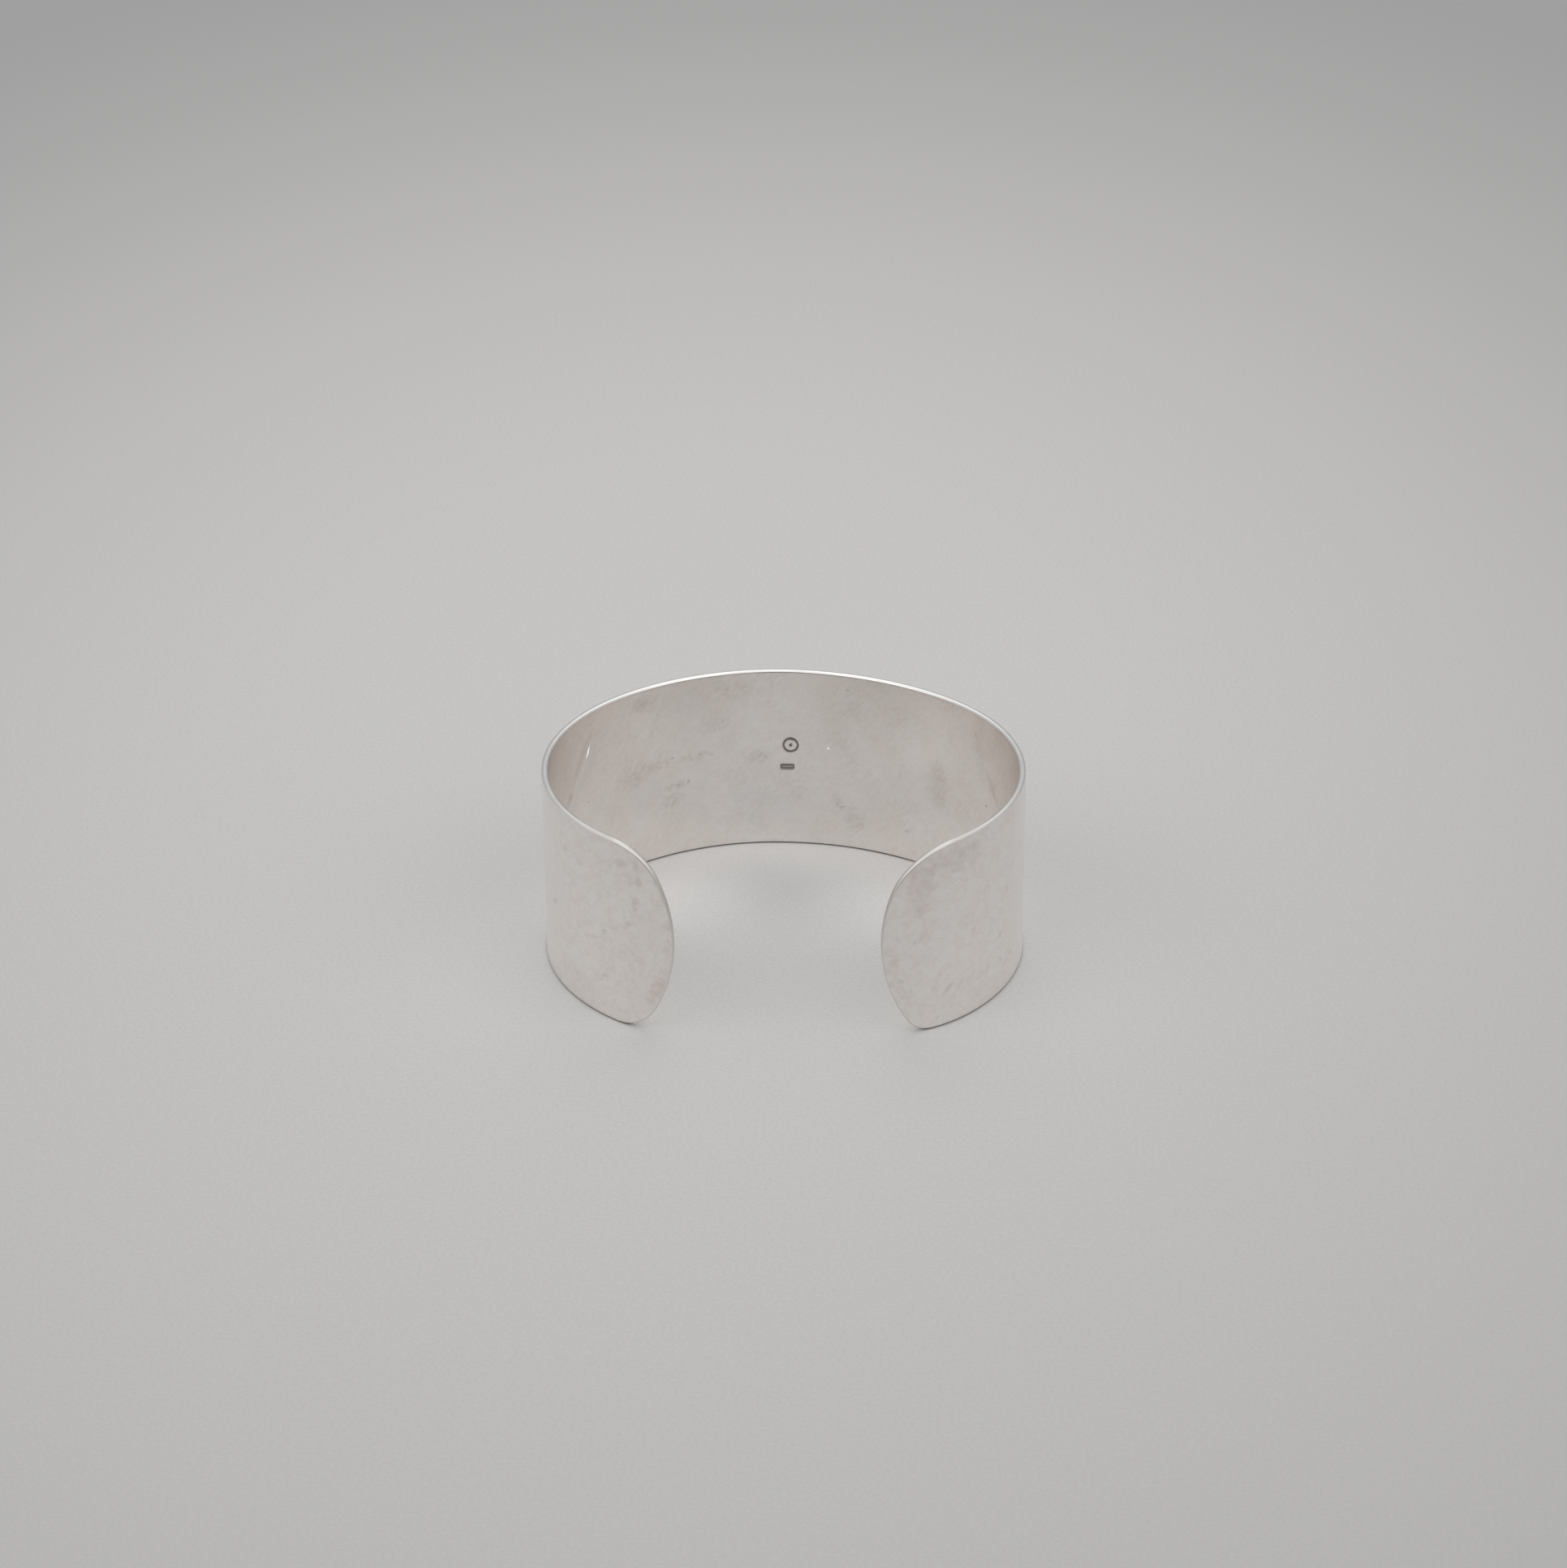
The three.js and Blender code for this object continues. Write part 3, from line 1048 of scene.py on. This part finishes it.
@dataclass
class Cuff:
    """The whole bangle, one strip of sheet, with its sizes in millimetres."""

    height: float = 25.0
    sheet: float = SHEET
    tip_radius: float = 19.3
    left: Arm = Arm(-1, 75.3, 7.0, 6.1, (Arc(29.7, 47.8), Arc(25.4, 95.1), Arc(16.6, 60.0)))
    right: Arm = Arm(1, 76.3, 9.2, 3.9, (Arc(34.2, 40.0), Arc(25.0, 94.9), Arc(16.6, 60.0)))
    ring: RingPunch = RingPunch()
    bar: BarPunch = BarPunch()
    punch_depth: float = 0.1
    punch_slope: float = 0.09
    punch_step: float = 0.1
    punch_room: float = 2.2
    station_step: float = 0.8
    row_step: float = 0.8
    outline_step: float = 0.5
    rim_reach: float = 0.27
    rim_cuts: int = 11
    ripple: float = 0.035
    ripple_size: float = 8.0
    weld: float = 0.06
    cut_slack: float = 0.001

    @property
    def half(self) -> float:
        """Half of the strip's width."""
        return self.height / 2

    @property
    def rim(self) -> float:
        """Half of the sheet, which is also half of the filed edge's width."""
        return self.sheet / 2

    def arm(self, along: float) -> Arm:
        """The arm that a place along the strip is on."""
        return self.left if along < 0 else self.right

    def corner(self, arm: Arm, upper: bool) -> Corner:
        """An arm's upper or lower corner."""
        return arm.corner(upper, self.tip_radius, self.half)

    def facing(self, along: float, up: float) -> Vector:
        """Finds which way the outline nearest to a flat point faces.

        Args:
            along: place along the strip.
            up: place above its middle line.

        Returns:
            The direction, in the flat strip's plane.
        """
        arm = self.arm(along)
        corner = self.corner(arm, up > 0)
        side = math.copysign(1.0, up)
        distance = abs(along)
        if distance <= corner.centre:
            return Vector((0.0, side))
        facing = Vector((distance - corner.centre, abs(up) - corner.up))
        if facing.y <= 0 or math.atan2(facing.y, facing.x) < corner.meet:
            facing = Vector((distance - corner.tip_centre, abs(up)))
        facing = facing.normalized()
        return Vector((arm.side * facing.x, side * facing.y))

    def spin_end(self, bm: bmesh.types.BMesh, arm: Arm) -> tuple[bmesh.types.BMVert, bmesh.types.BMVert]:
        """Spins the outline of one end of the land, round its upper corner, tip and lower corner.

        Args:
            bm: the mesh that it goes into.
            arm: whose end it is.

        Returns:
            The end's first and last points, on the upper and the lower straight edge.
        """
        upper = self.corner(arm, True)
        lower = self.corner(arm, False)
        first = bm.verts.new((arm.side * upper.centre, self.half - self.rim_reach, 0.0))
        last = first
        turns = (
            (upper.centre, upper.up, upper.radius, math.pi / 2 - upper.meet),
            (upper.tip_centre, 0.0, self.tip_radius, upper.meet + lower.meet),
            (lower.centre, -lower.up, lower.radius, math.pi / 2 - lower.meet),
        )
        for centre, up, radius, angle in turns:
            spun = bmesh.ops.spin(
                bm, geom=[last], cent=(arm.side * centre, up, 0.0), axis=(0.0, 0.0, 1.0),
                dvec=(0.0, 0.0, 0.0), angle=-arm.side * angle,
                steps=math.ceil(radius * angle / self.outline_step), use_merge=False,
            )
            last = spun["geom_last"][0]
        return first, last

    def cut_blank(self) -> bmesh.types.BMesh:
        """Cuts the strip's flat outer land, the filed edge's reach inside its outline, and divides it.

        Returns:
            A flat mesh at depth 0.
        """
        bm = bmesh.new()
        left_first, left_last = self.spin_end(bm, self.left)
        right_first, right_last = self.spin_end(bm, self.right)
        bm.edges.new((left_first, right_first))
        bm.edges.new((left_last, right_last))
        bmesh.ops.edgeloop_fill(bm, edges=bm.edges[:])
        first = -int(self.left.length / self.station_step)
        last = int(self.right.length / self.station_step)
        for index in range(first, last + 1):
            self.slice(bm, bm.faces, (index * self.station_step, 0.0, 0.0), (1.0, 0.0, 0.0))
        rows = int(self.half / self.row_step)
        for index in range(-rows, rows + 1):
            self.slice(bm, bm.faces, (0.0, index * self.row_step, 0.0), (0.0, 1.0, 0.0))
        bmesh.ops.remove_doubles(bm, verts=bm.verts, dist=self.weld)
        bmesh.ops.recalc_face_normals(bm, faces=bm.faces)
        if bm.faces[0].normal.z < 0:
            bmesh.ops.reverse_faces(bm, faces=bm.faces)
        return bm

    def slice(self, bm: bmesh.types.BMesh, faces: Any, point: Triple, normal: Triple) -> None:
        """Cuts faces along a plane.

        Args:
            bm: the mesh.
            faces: the faces that are cut.
            point: a point of the plane.
            normal: the plane's normal.
        """
        cut = dict.fromkeys(faces)
        cut.update(dict.fromkeys(edge for face in faces for edge in face.edges))
        cut.update(dict.fromkeys(vert for face in faces for vert in face.verts))
        bmesh.ops.bisect_plane(bm, geom=list(cut), dist=self.cut_slack, plane_co=point, plane_no=normal)

    def thicken(self, bm: bmesh.types.BMesh) -> None:
        """Gives the blank its thickness and divides its edge for the filing.

        Args:
            bm: the flat blank.
        """
        bmesh.ops.solidify(bm, geom=bm.faces[:], thickness=self.sheet)
        across = [edge for edge in bm.edges if abs(edge.verts[0].co.z - edge.verts[1].co.z) > self.rim]
        bmesh.ops.subdivide_edges(bm, edges=across, cuts=self.rim_cuts, use_grid_fill=True)
        for face in bm.faces:
            depth = -face.calc_center_median().z
            if depth < self.weld:
                face.material_index = Face.OUTSIDE.value
            elif depth > self.sheet - self.weld:
                face.material_index = Face.INSIDE.value
            else:
                face.material_index = Face.RIM.value

    def strike(self, bm: bmesh.types.BMesh) -> None:
        """Strikes the two plain punches into the inner face, whose mesh is made finer there.

        Args:
            bm: the flat strip.
        """
        room = Vector((self.punch_room, self.punch_room))
        low = Vector((min(self.ring.along, self.bar.along), self.bar.height - self.half)) - room
        high = Vector((max(self.ring.along, self.bar.along), self.ring.height - self.half)) + room

        def struck() -> list[bmesh.types.BMFace]:
            """The inner faces that lie around the punches."""
            return [
                face for face in bm.faces
                if face.material_index == Face.INSIDE.value
                and all(low.x < vert.co.x < high.x and low.y < vert.co.y < high.y for vert in face.verts)
            ]

        for axis, normal in ((0, (1.0, 0.0, 0.0)), (1, (0.0, 1.0, 0.0))):
            for index in range(1, int((high[axis] - low[axis]) / self.punch_step)):
                point = [0.0, 0.0, 0.0]
                point[axis] = low[axis] + index * self.punch_step
                self.slice(bm, struck(), tuple(point), normal)
        for vert in {vert for face in struck() for vert in face.verts}:
            place = (vert.co.x, vert.co.y + self.half, self.punch_slope)
            share = max(self.ring.depth(*place), self.bar.depth(*place))
            vert.co.z += self.punch_depth * share

    def file_edges(self, bm: bmesh.types.BMesh) -> None:
        """Files the strip's edge to a low crown, out to the strip's full outline.

        Args:
            bm: the flat strip.
        """
        for vert in bm.verts:
            if not any(face.material_index == Face.RIM.value for face in vert.link_faces):
                continue
            facing = self.facing(vert.co.x, vert.co.y)
            angle = math.pi * min(max(-vert.co.z / self.sheet, 0.0), 1.0)
            out = self.rim_reach * math.sin(angle)
            vert.co = Vector((vert.co.x + facing.x * out, vert.co.y + facing.y * out,
                              -self.rim * (1 - math.cos(angle))))

    def bend(self, bm: bmesh.types.BMesh) -> None:
        """Bends the strip, with a hand-worked ripple, and keeps each point's flat place on it.

        Args:
            bm: the flat strip.
        """
        strip = bm.verts.layers.float_vector.new(Attribute.STRIP.value)
        for vert in bm.verts:
            along, up, depth = vert.co.x, vert.co.y, -vert.co.z
            vert[strip] = Vector((along, up + self.half, depth))
            uneven = self.ripple * noise.noise(Vector((along, up, 0.0)) / self.ripple_size)
            plan = self.arm(along).place(abs(along), depth - uneven)
            vert.co = Vector((plan.x, plan.y, up + self.half))
        bmesh.ops.recalc_face_normals(bm, faces=bm.faces)

    def seat(self, bm: bmesh.types.BMesh) -> None:
        """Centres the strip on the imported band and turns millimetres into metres.

        Args:
            bm: the bent strip.
        """
        low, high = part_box("cuff_band")
        bmesh.ops.scale(bm, vec=(MM, MM, MM), verts=bm.verts)
        reaches = [[vert.co[axis] for vert in bm.verts] for axis in range(3)]
        middle = [(min(reach) + max(reach)) / 2 for reach in reaches]
        shift = ((low.x + high.x) / 2 - middle[0], (low.y + high.y) / 2 - middle[1], low.z - min(reaches[2]))
        bmesh.ops.translate(bm, vec=shift, verts=bm.verts)

    def build(self, materials: dict[Face, bpy.types.Material]) -> bpy.types.Object:
        """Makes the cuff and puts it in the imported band's place.

        Args:
            materials: the material of each of its surfaces.

        Returns:
            The finished piece.
        """
        bm = self.cut_blank()
        self.thicken(bm)
        self.strike(bm)
        self.file_edges(bm)
        self.bend(bm)
        self.seat(bm)
        for face in bm.faces:
            face.smooth = True
        mesh = bpy.data.meshes.new("cuff")
        bm.to_mesh(mesh)
        bm.free()
        for surface in Face:
            mesh.materials.append(materials[surface])
        cuff = bpy.data.objects.new("cuff", mesh)
        bpy.context.scene.collection.objects.link(cuff)
        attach(cuff, "root")
        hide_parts("cuff_band")
        return cuff


# ---- The studio ----


@dataclass(frozen=True)
class Glow:
    """One soft lamp seen through the tent, by its direction, its half width in degrees and its radiance."""

    azimuth: float
    elevation: float
    reach: float
    radiance: Colour

    @property
    def direction(self) -> Triple:
        """Works out where the lamp is, with its azimuth counted from the front towards +X.

        Returns:
            The unit vector towards it.
        """
        azimuth, elevation = math.radians(self.azimuth), math.radians(self.elevation)
        level = math.cos(elevation)
        return math.sin(azimuth) * level, -math.cos(azimuth) * level, math.sin(elevation)


@dataclass(frozen=True)
class Sky:
    """Soft light from all round: a pale tent, two lamps in front with a dark gap between, and one behind."""

    front: Colour = (0.02, 0.02, 0.02, 1.0)
    side: Colour = (0.60, 0.60, 0.60, 1.0)
    back: Colour = (0.38, 0.38, 0.38, 1.0)
    overhead: Colour = (0.35, 0.35, 0.35, 1.0)
    lift: tuple[float, float] = (0.65, 0.76)
    front_lift: float = 0.11
    lamps: tuple[Glow, ...] = (
        Glow(-47.0, 47.0, 37.6, (1.14, 1.14, 1.14, 1.0)),
        Glow(47.0, 47.0, 37.6, (1.14, 1.14, 1.14, 1.0)),
        Glow(180.0, 62.0, 36.0, (0.98, 0.98, 0.98, 1.0)),
    )

    def build(self) -> bpy.types.World:
        """Hangs the light.

        Returns:
            The world, whose colour depends on the direction alone.
        """
        world = bpy.data.worlds.new("sky")
        world.use_nodes = True
        shader = Shader(world.node_tree)
        direction = shader.add("ShaderNodeTexCoord").outputs["Generated"]
        axes = shader.split(direction)
        ahead = shader.ramp(axes["Y"], 0.0, -1.0)
        colour = shader.tint(self.side, self.back, shader.ramp(axes["Y"], 0.0, 1.0))
        colour = shader.tint(colour, self.front, ahead)
        height = shader.math("SUBTRACT", axes["Z"], shader.math("MULTIPLY", ahead, self.front_lift))
        colour = shader.tint(colour, self.overhead, shader.ramp(height, *self.lift))
        for lamp in self.lamps:
            near = shader.vector("DOT_PRODUCT", direction, lamp.direction)
            glow = shader.ramp(near, math.cos(math.radians(lamp.reach)), 1.0)
            colour = shader.tint(colour, lamp.radiance, glow, Blend.GLOWING)
        shader.feed(world.node_tree.nodes["Background"].inputs["Color"], colour)
        bpy.context.scene.world = world
        return world


@dataclass(frozen=True)
class View:
    """The camera, which looks down through the cuff's opening, with its sizes in metres and degrees."""

    target: Triple = (-0.00228, 0.04088, 0.0)
    distance: float = 0.5753
    elevation: float = 27.5
    turn: float = 3.04
    roll: float = -0.36
    lens: float = 98.4
    clip_start: float = 0.01

    def build(self) -> bpy.types.Object:
        """Sets the camera up as the scene's own.

        Returns:
            The camera.
        """
        elevation, turn, roll = (math.radians(angle) for angle in (self.elevation, self.turn, self.roll))
        level = math.cos(elevation)
        back = Vector((math.sin(turn) * level, -math.cos(turn) * level, math.sin(elevation)))
        right = Vector((0.0, 0.0, 1.0)).cross(back).normalized()
        above = back.cross(right)
        across = right * math.cos(roll) + above * math.sin(roll)
        upward = above * math.cos(roll) - right * math.sin(roll)
        turned = Matrix((across, upward, back)).transposed()
        data = bpy.data.cameras.new("camera")
        data.lens = self.lens
        data.clip_start = self.clip_start
        camera = bpy.data.objects.new("camera", data)
        place = Vector(self.target) + back * self.distance
        camera.matrix_world = Matrix.Translation(place) @ turned.to_4x4()
        bpy.context.scene.collection.objects.link(camera)
        bpy.context.scene.camera = camera
        return camera


@dataclass(frozen=True)
class Studio:
    """A plain pale floor under soft light, with its sizes in metres. Its paper is painted darker away from
    the cuff and paler and cooler within it.
    """

    floor_size: float = 6.0
    paper: Colour = (0.728, 0.721, 0.713, 1.0)
    paper_tooth: Colour = (0.585, 0.579, 0.571, 1.0)
    # Painted shade: the paper's darker tone away from the cuff, standing in for the light's falloff.
    paper_painted_falloff: Colour = (0.41, 0.406, 0.406, 1.0)
    # Painted light: a paler, cooler tone within the cuff, cancelling the warm light that the silver reflects
    # onto the floor there.
    paper_painted_within: Colour = (0.730, 0.733, 0.735, 1.0)
    paper_roughness: float = 0.95
    paper_shine: float = 0.15
    tooth_scale: float = 2200.0
    tooth_detail: float = 4.0
    tooth_strength: float = 0.25
    tooth_depth: float = 0.05 * MM
    # Reaches of the painted tones, in metres.
    painted_within_span: tuple[float, float] = (0.026, 0.014)
    painted_falloff_span: tuple[float, float] = (0.044, 0.425)
    painted_falloff_centre: Triple = (-0.017, 0.068, 0.0)
    painted_falloff_squeeze: Triple = (1.54, 1.0, 1.0)
    sky: Sky = Sky()

    def build_floor(self) -> bpy.types.Object:
        """Lays the floor.

        Returns:
            The floor.
        """
        bm = bmesh.new()
        bmesh.ops.create_grid(bm, x_segments=1, y_segments=1, size=self.floor_size / 2)
        mesh = bpy.data.meshes.new("floor")
        bm.to_mesh(mesh)
        bm.free()
        floor = bpy.data.objects.new("floor", mesh)
        bpy.context.scene.collection.objects.link(floor)
        mesh.materials.append(self.paper_material())
        return floor

    def paper_colour(self, shader: Shader, place: Socket, tooth: Socket) -> Socket:
        """Colours the paper with painted light. It is paler and cooler within the cuff, against the warm
        light that the silver throws there. It is darker away from the cuff, standing in for the light's
        falloff.

        Args:
            shader: the material's builder.
            place: the place on the floor.
            tooth: the paper's tooth, from 0 to 1.

        Returns:
            The colour.
        """
        # Paints the paler, cooler tone within the cuff.
        within = shader.ramp(shader.vector("LENGTH", place), *self.painted_within_span)
        colour = shader.tint(self.paper, self.paper_painted_within, within)
        colour = shader.tint(colour, self.paper_tooth, tooth)
        # Paints the shade that darkens the paper away from the cuff.
        offset = shader.vector("SUBTRACT", place, self.painted_falloff_centre)
        reach = shader.vector("LENGTH", shader.vector("MULTIPLY", offset, self.painted_falloff_squeeze))
        return shader.tint(colour, self.paper_painted_falloff, shader.ramp(reach, *self.painted_falloff_span))

    def paper_material(self) -> bpy.types.Material:
        """Builds the floor's matte paper.

        Returns:
            Its material.
        """
        material = bpy.data.materials.new("paper")
        material.use_nodes = True
        shader = Shader(material.node_tree)
        place = shader.add("ShaderNodeTexCoord").outputs["Object"]
        grain = shader.add("ShaderNodeTexNoise")
        tooth = shader.fill(grain, Vector=place, Scale=self.tooth_scale, Detail=self.tooth_detail).outputs[0]
        shader.fill(
            material.node_tree.nodes["Principled BSDF"],
            Base_Color=self.paper_colour(shader, place, tooth), Roughness=self.paper_roughness,
            Specular_IOR_Level=self.paper_shine,
            Normal=shader.bump(tooth, self.tooth_strength, self.tooth_depth),
        )
        return material

    def build(self) -> bpy.types.Object:
        """Lays the floor and hangs the light, and keeps the silver's reflections sharp on the floor.

        Returns:
            The floor.
        """
        floor = self.build_floor()
        self.sky.build()
        bpy.context.scene.cycles.blur_glossy = 0.0
        bpy.context.scene.view_settings.view_transform = "Standard"
        return floor


def main() -> None:
    """Builds the view, the studio and the cuff, and reports each piece."""
    camera = View().build()
    LOG.info("%s: lens of %.1f mm", camera.name, camera.data.lens)
    floor = Studio().build()
    LOG.info("%s: %d faces", floor.name, len(floor.data.polygons))
    effects = Effects()
    materials = {
        Face.OUTSIDE: FrostedOutside(effects).dress(),
        Face.INSIDE: SatinInside(effects).dress(),
        Face.RIM: PolishedRim(effects).dress(),
    }
    cuff = Cuff().build(materials)
    LOG.info("%s: %d faces", cuff.name, len(cuff.data.polygons))


if __name__ == "__main__":
    logging.basicConfig(level=logging.INFO, format="%(name)s: %(message)s")
    main()
